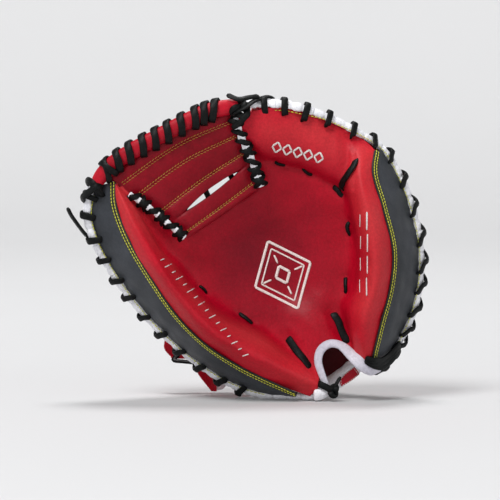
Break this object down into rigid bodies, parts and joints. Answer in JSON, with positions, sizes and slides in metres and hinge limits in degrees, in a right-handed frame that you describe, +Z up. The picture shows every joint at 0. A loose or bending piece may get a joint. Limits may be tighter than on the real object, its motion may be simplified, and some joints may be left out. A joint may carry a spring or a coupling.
{
  "type": "baseball catchers mitt",
  "caption": "Left-hand catcher's mitt with padded thumb and finger sides, a laced ribbed web with a slot, a deep pocket, finger sleeves and a wrist strap, standing on its heel.",
  "frame": {"origin": "on the floor, under the middle of the mitt's box, as it stands on its heel", "axes": "+X to the right, towards the little finger; +Y away from the viewer, out of the back of the hand; +Z up, from the heel to the web"},
  "size_m": [0.285, 0.1084, 0.2395],
  "materials": {
    "red_leather": "smooth full-grain leather, semi-matt",
    "charcoal_leather": "smooth leather, matt",
    "white_leather": "smooth binding leather, satin",
    "black_rawhide": "oiled rawhide lace, satin",
    "felt_padding": "dense felt and foam",
    "lining": "soft lining",
    "white_fleece": "short fleece",
    "closure": "hook and loop tape"
  },
  "bodies": {
    "mitt": {"finger_pad_cover": "red_leather", "palm_leather": "red_leather", "web_panel": "red_leather", "web_back_panel": "red_leather", "web_top_roll": "red_leather", "finger_back_shell": "red_leather", "heel_tag": "red_leather", "finger_side_panel": "charcoal_leather", "finger_binding": "white_leather", "heel_binding": "white_leather", "web_thumb_binding": "white_leather", "web_finger_binding": "white_leather", "web_top_lace": "black_rawhide", "web_thumb_lace": "black_rawhide", "web_finger_lace": "black_rawhide", "web_slot_lace": "black_rawhide", "palm_lace_thumb": "black_rawhide", "palm_lace_middle": "black_rawhide", "palm_lace_upper": "black_rawhide", "index_lace_left": "black_rawhide", "index_lace_right": "black_rawhide", "index_lace_top": "black_rawhide", "heel_lace_left": "black_rawhide", "heel_lace_right": "black_rawhide", "finger_rim_lace": "black_rawhide", "heel_lace_knot": "black_rawhide", "finger_pad_core": "felt_padding", "palm_pad_core": "felt_padding", "palm_lining": "lining", "index_stall": "lining", "middle_stall": "lining", "ring_stall": "lining", "little_stall": "lining", "wrist_roll": "white_fleece"},
    "thumb": {"thumb_side_panel": "charcoal_leather", "thumb_pad_cover": "red_leather", "thumb_pad_core": "felt_padding", "thumb_binding": "white_leather", "thumb_rim_lace": "black_rawhide", "thumb_lace_tail": "black_rawhide", "thumb_back_shell": "red_leather", "strap_loop_patch": "closure", "thumb_stall": "lining"},
    "strap": {"wrist_strap": "red_leather", "strap_lining": "white_fleece", "strap_hook_patch": "closure", "strap_tail": "red_leather", "strap_lace_tail": "black_rawhide"}
  },
  "joints": [
    {"name": "thumb_close", "type": "hinge", "parent": "mitt", "child": "thumb", "pos_m": [0.06172, -0.01761, 0.014], "axis": [-0.725, -0.0373, 0.6877], "range_deg": [0, 40]},
    {"name": "strap_open", "type": "hinge", "parent": "mitt", "child": "strap", "pos_m": [0.08472, 0.04739, 0.064], "axis": [0.164, 0, -0.9865], "range_deg": [0, 90]}
  ]
}
